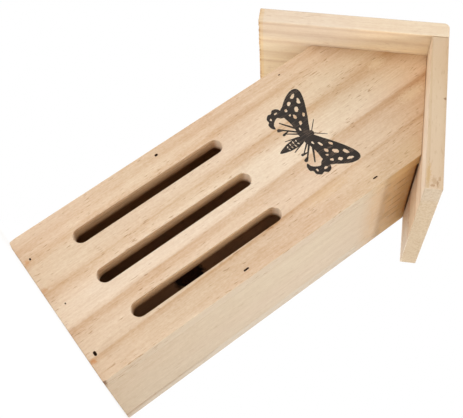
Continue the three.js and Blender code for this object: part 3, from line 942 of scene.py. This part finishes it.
def makeRoofBoard(name, plank):
    side, seed, roundness = plank["side"], plank["seed"], plank["ridgeRound"]
    down = Vector((side * math.cos(pitch), 0, -math.sin(pitch)))
    out = Vector((side * math.sin(pitch), 0, math.cos(pitch)))
    apex = Vector((0, 0, apexHeight))
    packedReach = max(abs(corner.x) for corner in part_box(f"{name}_roof_board")) / mm

    def place(u, v, depth):
        return apex + down * u + out * (roof["thickness"] - depth) + Vector((0, v, 0))

    def shapeEnds(spot, depth):
        # saw marks at the eave end, and the planed corner at the ridge
        shaped = spot.copy()
        if spot.x > plank["to"] - roof["endReach"]:
            cut = Vector((spot.y / plank["sawnStep"], depth * sawing["markLean"], seed))
            wide, deep = sawing["fuzzSize"]
            nap = Vector((spot.y * wide, depth * deep, seed + sawing["fuzzShift"]))
            mark, fuzz = abs(noise.noise(cut)) * sawing["mark"], noise.noise(nap) * sawing["fuzz"]
            proud = max([0] + [1 - abs(spot.y - at) / half for at, half in plank["proudFibres"]])
            shaped.x -= plank["sawn"] * (1 - proud) * max(0, sawing["least"] + mark + fuzz)
            shaped.x = min(shaped.x, packedReach / math.cos(pitch) - roof["thickness"] + depth)
        if roundness and spot.x < plank["from"] + roof["endReach"] and depth < roundness:
            rise = 1 - depth / roundness
            uneven = 1 + roof["ridgeWaver"] * waver(spot, seed)
            shaped.x += roundness * (1 - math.sqrt(1 - rise * rise)) * uneven
        return shaped

    def toBoard(point):
        return Vector(((point - apex).dot(down), point.y))

    board = Board(f"{name}_roof_plank", place, seed, shapeEnds)
    corners = spots((plank["from"], roof["front"]), (plank["to"], roof["front"]),
                    (plank["to"], roof["back"]), (plank["from"], roof["back"]))
    names = [f"roof_brad_{name}_{panel}_{height}"
             for panel in ("front", "back") for height in ("upper", "lower")]
    if name == "left":
        names += [f"ridge_brad_{where}" for where in ("front", "middle", "back")]
    pits = [bradPit(node, toBoard=toBoard) for node in names]
    step = making["step"]
    board.slab(corners, roof["thickness"], [step, roof["eaveStep"], step, step], recesses=pits,
               depths=roof["depths"])
    # the place along the grain is counted from the frame's origin
    base = apex.dot(down)
    wood = {**plank["wood"], "roomUnder": (insideDepth, base + 0.5,
                                           base + (halfWidth + roof["paintedShadePast"]) / math.cos(pitch))}
    if "scorch" in wood:
        begin, end, colour = wood["scorch"]
        wood["scorch"] = (begin + base, end + base, colour)
    outside = pine(f"{name} roof pine", (Vector((0, 1, 0)), out, down), wood)
    board.finish([outside, pitMaterial], f"{name}_roof_pine", f"{name}_roof_board")


makeRoofBoard("left", leftRoof)
makeRoofBoard("right", rightRoof)
print("roof boards made")

# The printed butterfly. Its right half is drawn, in millimetres from the middle of the body, and mirrored.

butterfly = {
    "middle": (-0.7, 175.2),
    "thickness": 0.05, "proud": 0.03, "seed": 3, "curveStep": 0.45, "raggedness": 0.1,
    "spotRaggedness": 0.42,
    "raggedSize": (1.6, 0.7, 4.4),
    "spotShare": 0.88, "strokeShare": 1.25,
    "wings": [
        [(0.6, 2.2), (6.5, 6.4), (13.5, 10.6), (20.5, 14.2), (26.4, 16.2), (29.8, 15.6), (30.9, 12.8),
         (29.8, 8.4), (27.4, 4.2), (25.2, 1.4), (22.8, -2.2), (18.4, -2.8), (12.4, -2.4), (7, -2.8),
         (1.8, -3.4)],
        [(18, -1.6), (22.4, -1.4), (25.6, -2.6), (26.6, -5.4), (25, -7.4), (25.4, -9.4), (23.4, -11.8),
         (20.8, -12), (19.6, -13.4), (16.4, -13.2), (14.8, -11.6), (17.4, -10.8), (19.4, -8.8),
         (20.4, -6.2), (18.8, -4.6)],
    ],
    "body": [
        [(0, -1), (2.5, -4.6), (2.9, -9.6), (2.3, -14.6), (0, -19.8), (-2.3, -14.6), (-2.9, -9.6),
         (-2.5, -4.6)],
        [(0, 4.9), (1.6, 4.3), (2, 3), (3.2, 1.2), (3, -2.6), (0, -4.4), (-3, -2.6), (-3.2, 1.2), (-2, 3),
         (-1.6, 4.3)],
    ],
    # strokes: from, to, and the width at each end
    "strokes": [((0.9, 4.3), (6.4, 10.2), 0.5, 0.28), ((3.6, -2.8), (8.2, -8.6), 0.9, 0.5),
                ((5.2, -2.6), (12, -9.2), 1, 0.7), ((11.6, -8.8), (12.8, -10.8), 0.9, 1.9),
                ((8.6, -2.4), (16.6, -7.4), 1.1, 0.6), ((9.2, -6.4), (8.6, -10.2), 0.5, 1.4),
                ((2.2, -5), (4.6, -12.6), 0.8, 0.4)],
    # pale spots are ovals: middle, half length, half width and turn in degrees
    "spots": [((26.9, 10.4), 2.3, 1, 66), ((24, 5.4), 1.7, 1.2, 52), ((21.4, 1.2), 1.3, 0.9, 30),
              ((22.2, 11.2), 2.4, 1.1, 22), ((18.2, 6.6), 2.3, 1.4, 30), ((14.6, 2.6), 1.9, 1.1, 12),
              ((12.6, 7.6), 1.5, 0.8, 30), ((9.2, 2.6), 1.8, 0.9, 24), ((5.8, -0.4), 1.2, 0.6, 8),
              ((17.4, 1), 0.9, 0.6, 40), ((23.4, -5), 1.3, 0.7, 80), ((21.6, -9.8), 1, 0.6, 20),
              ((1.1, -7.2), 0.9, 0.34, 14), ((1.2, -9.4), 1.1, 0.36, 14), ((1.1, -11.6), 1, 0.36, 14),
              ((0.9, -13.8), 0.8, 0.34, 14)],
    "ink": {"tones": ("261e17", "6d5a4c"), "wornFade": (0.78, 1.05), "roughness": 0.6, "gloss": 0.3,
            "relief": 0.35, "bumpSize": 0.1},
}


def smoothLoop(points, step):
    # a closed curve through the points
    loop = []
    count = len(points)
    for i in range(count):
        before, start, end, after = (Vector(points[(i + k) % count]) for k in (-1, 0, 1, 2))
        parts = max(2, round((end - start).length / step))
        for k in range(parts):
            t = k / parts
            loop.append(0.5 * (2 * start + (end - before) * t
                               + (2 * before - 5 * start + 4 * end - after) * t * t
                               + (3 * start - before - 3 * end + after) * t ** 3))
    return loop


def strokeLoop(start, end, startWidth, endWidth, arcSteps=6):
    start, end = Vector(start), Vector(end)
    way = (end - start).normalized()
    aside = Vector((-way.y, way.x))
    loop = []
    for middle, width, sign in ((start, startWidth, -1), (end, endWidth, 1)):
        for k in range(arcSteps + 1):
            turn = math.pi * k / arcSteps
            outward = aside * math.cos(turn) * -sign + way * math.sin(turn) * sign
            loop.append(middle + outward * width / 2)
    return loop


def ovalLoop(middle, halfLength, halfWidth, turn, count=18):
    angle = math.radians(turn)
    way, aside = spots((math.cos(angle), math.sin(angle)), (-math.sin(angle), math.cos(angle)))
    spin = [2 * math.pi * k / count for k in range(count)]
    return [Vector(middle) + way * math.cos(a) * halfLength + aside * math.sin(a) * halfWidth for a in spin]


def mirrored(loops):
    return loops + [[Vector((-point.x, point.y)) for point in loop] for loop in loops]


def roughened(loop, amount, size):
    wide, high, seed = size
    moves = [noise.noise_vector(Vector((point.x * wide, point.y * high, seed))) for point in loop]
    return [point + Vector((move.x, move.y)) * amount for point, move in zip(loop, moves)]


def inkMaterial(look):
    mat = Shading("print ink")
    place = mat.millimetres()
    thread = mat.cloud(place, (0.45, 0.45, 7), 1.7, detail=3, roughness=0.6)
    cover = mat.cloud(place, (3, 3, 9), 8)
    thin = mat.spread(mat.timesPlus(cover, 0.5, thread), *look["wornFade"])
    colour = mat.mix(thin, *look["tones"])
    return mat.surface(colour, thread, look)


def makeButterfly(design):
    noise.seed_set(design["seed"])  # the same ragged outline each run
    broad, small = design["strokeShare"], design["spotShare"]
    step, size = design["curveStep"], design["raggedSize"]
    inked = mirrored([smoothLoop(wing, step) for wing in design["wings"]]
                     + [strokeLoop(start, end, first * broad, last * broad)
                        for start, end, first, last in design["strokes"]])
    inked += [smoothLoop(part, step) for part in design["body"]]
    bare = mirrored([ovalLoop(middle, halfLength * small, halfWidth * small, turn)
                     for middle, halfLength, halfWidth, turn in design["spots"]])
    inked = [roughened(loop, design["raggedness"], size) for loop in inked]
    bare = [roughened(loop, design["spotRaggedness"], size) for loop in bare]
    flat, triangles, origins = fillLoops(
        inked + bare, lambda centre: isInAny(centre, inked) and not isInAny(centre, bare), 0.001)

    mesh = bmesh.new()
    used = {k: flat[k] + Vector(design["middle"]) for triangle in triangles for k in triangle}
    layers = []
    for depth in (-design["proud"], design["thickness"] - design["proud"]):
        layers.append({k: mesh.verts.new(Vector((spot.x, frontFace + depth, spot.y)) * mm)
                       for k, spot in used.items()})
    for triangle in triangles:
        for layer in layers:
            mesh.faces.new([layer[k] for k in triangle])
    # walls stand where only one triangle has the side
    sides = [(triangle[i], triangle[(i + 1) % 3]) for triangle in triangles for i in range(3)]
    known = set(sides)
    for a, b in sides:
        if (b, a) not in known:
            mesh.faces.new((layers[0][a], layers[0][b], layers[1][b], layers[1][a]))
    bmesh.ops.recalc_face_normals(mesh, faces=mesh.faces)
    piece = addPiece("butterfly_print", mesh, [inkMaterial(design["ink"])])
    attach(piece, "root")


makeButterfly(butterfly)
print("butterfly printed")

# Metal: the brads, the wall plate and its screws keep their solids

metals = {
    "brad": {"tones": ("160c06", "3a2415"), "roughness": 0.7, "gloss": 0.1, "grainSize": 0.5,
             "metallic": 0.15},
    "zinc": {"tones": ("8f9496", "c3c6c8"), "roughness": 0.34, "gloss": 0.5, "grainSize": 2.4,
             "metallic": 1},
}


def metalMaterial(name, look):
    mat = Shading(name)
    place = mat.millimetres()
    size = look["grainSize"]
    cells = mat.node("TexVoronoi", {"Vector": mat.stretched(place, (size,) * 3), "Scale": 1})
    bright = mat.node("SeparateColor", {0: cells.outputs["Color"]}).outputs[1]
    stain = mat.cloud(place, (size * 3,) * 3, 4, detail=4, roughness=0.6)
    share = mat.timesPlus(bright, 0.35, mat.times(stain, 0.65))
    colour = mat.mix(share, *look["tones"])
    dullness = mat.timesPlus(stain, 0.25, look["roughness"] - 0.1)
    scratches = mat.cloud(place, (0.25, 0.25, 5), 9, detail=3)
    return mat.surface(colour, scratches, {**look, "relief": 0.25, "bumpSize": 0.03}, dullness)


bradSteel = metalMaterial("brad steel", metals["brad"])
plateZinc = metalMaterial("plate zinc", metals["zinc"])
for nodeName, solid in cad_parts.items():
    if "brad" in nodeName:
        solid.material_slots[0].material = bradSteel
    elif nodeName.startswith("hanger"):
        solid.material_slots[0].material = plateZinc
print("metal finished")
